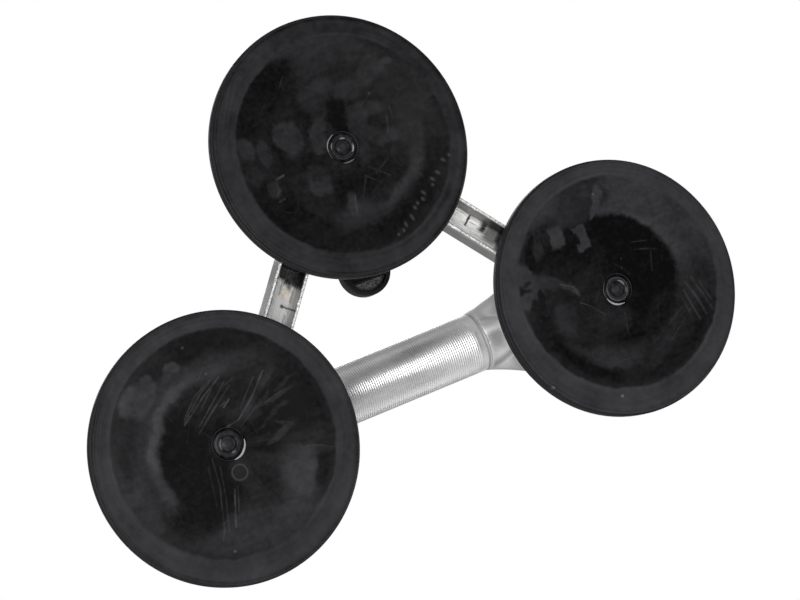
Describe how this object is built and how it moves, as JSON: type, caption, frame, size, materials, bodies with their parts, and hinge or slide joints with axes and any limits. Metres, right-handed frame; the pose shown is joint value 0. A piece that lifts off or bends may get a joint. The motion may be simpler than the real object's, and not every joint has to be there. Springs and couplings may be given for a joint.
{
  "type": "three-cup hand suction lifter",
  "caption": "Hand suction lifter: rubber cups under a cast aluminium triangle frame with a ribbed grip; each cup has a cam lever that pulls its centre up.",
  "frame": {"origin": "middle of the outline, on the sealing plane of the three pads", "axes": "+X along the handle, +Y from the handle to the front cup, +Z away from the surface that the pads hold"},
  "size_m": [0.32, 0.2256, 0.1004],
  "materials": {
    "cast_aluminium": "tumbled casting",
    "grip_aluminium": "turned, fine ribs",
    "pad_rubber": "satin, moulded",
    "stud_steel": "zinc plated",
    "pin_steel": "ground",
    "spring_steel": "drawn wire",
    "bush_plastic": "moulded",
    "wear_plastic": "moulded",
    "lever_plastic": "fine moulded grain"
  },
  "bodies": {
    "frame": {"frame_casting": "cast_aluminium", "grip_tube": "grip_aluminium", "suction_pad_right": "pad_rubber", "return_spring_right": "spring_steel", "guide_bush_right": "bush_plastic", "wear_plate_right": "wear_plastic", "suction_pad_left": "pad_rubber", "return_spring_left": "spring_steel", "guide_bush_left": "bush_plastic", "wear_plate_left": "wear_plastic", "suction_pad_front": "pad_rubber", "return_spring_front": "spring_steel", "guide_bush_front": "bush_plastic", "wear_plate_front": "wear_plastic"},
    "stud_right": {"pull_stud_right": "stud_steel", "pivot_pin_right": "pin_steel"},
    "lever_right": {"cam_lever_right": "lever_plastic"},
    "stud_left": {"pull_stud_left": "stud_steel", "pivot_pin_left": "pin_steel"},
    "lever_left": {"cam_lever_left": "lever_plastic"},
    "stud_front": {"pull_stud_front": "stud_steel", "pivot_pin_front": "pin_steel"},
    "lever_front": {"cam_lever_front": "lever_plastic"}
  },
  "joints": [
    {"name": "right_stud_slide", "type": "slide", "parent": "frame", "child": "stud_right", "axis": [0, 0, 1], "range_m": [0, 0.003], "deforming": ["suction_pad_right", "return_spring_right"]},
    {"name": "right_lever_hinge", "type": "hinge", "parent": "stud_right", "child": "lever_right", "pos_m": [0.1, -0.05275, 0.0335], "axis": [0, 1, 0], "range_deg": [0, 90]},
    {"name": "left_stud_slide", "type": "slide", "parent": "frame", "child": "stud_left", "axis": [0, 0, 1], "range_m": [0, 0.003], "deforming": ["suction_pad_left", "return_spring_left"]},
    {"name": "left_lever_hinge", "type": "hinge", "parent": "stud_left", "child": "lever_left", "pos_m": [-0.1, -0.05275, 0.0335], "axis": [0, -1, 0], "range_deg": [0, 90]},
    {"name": "front_stud_slide", "type": "slide", "parent": "frame", "child": "stud_front", "axis": [0, 0, 1], "range_m": [-0.003, 0], "deforming": ["suction_pad_front", "return_spring_front"]},
    {"name": "front_lever_hinge", "type": "hinge", "parent": "stud_front", "child": "lever_front", "pos_m": [0, 0.05275, 0.0365], "axis": [-1, 0, 0], "range_deg": [0, 90]}
  ],
  "couplings": [
    {"joint": "right_lever_hinge", "follows": "right_stud_slide", "rad_per_m": 523.6},
    {"joint": "left_lever_hinge", "follows": "left_stud_slide", "rad_per_m": 523.6},
    {"joint": "front_lever_hinge", "follows": "front_stud_slide", "rad_per_m": -523.6}
  ]
}
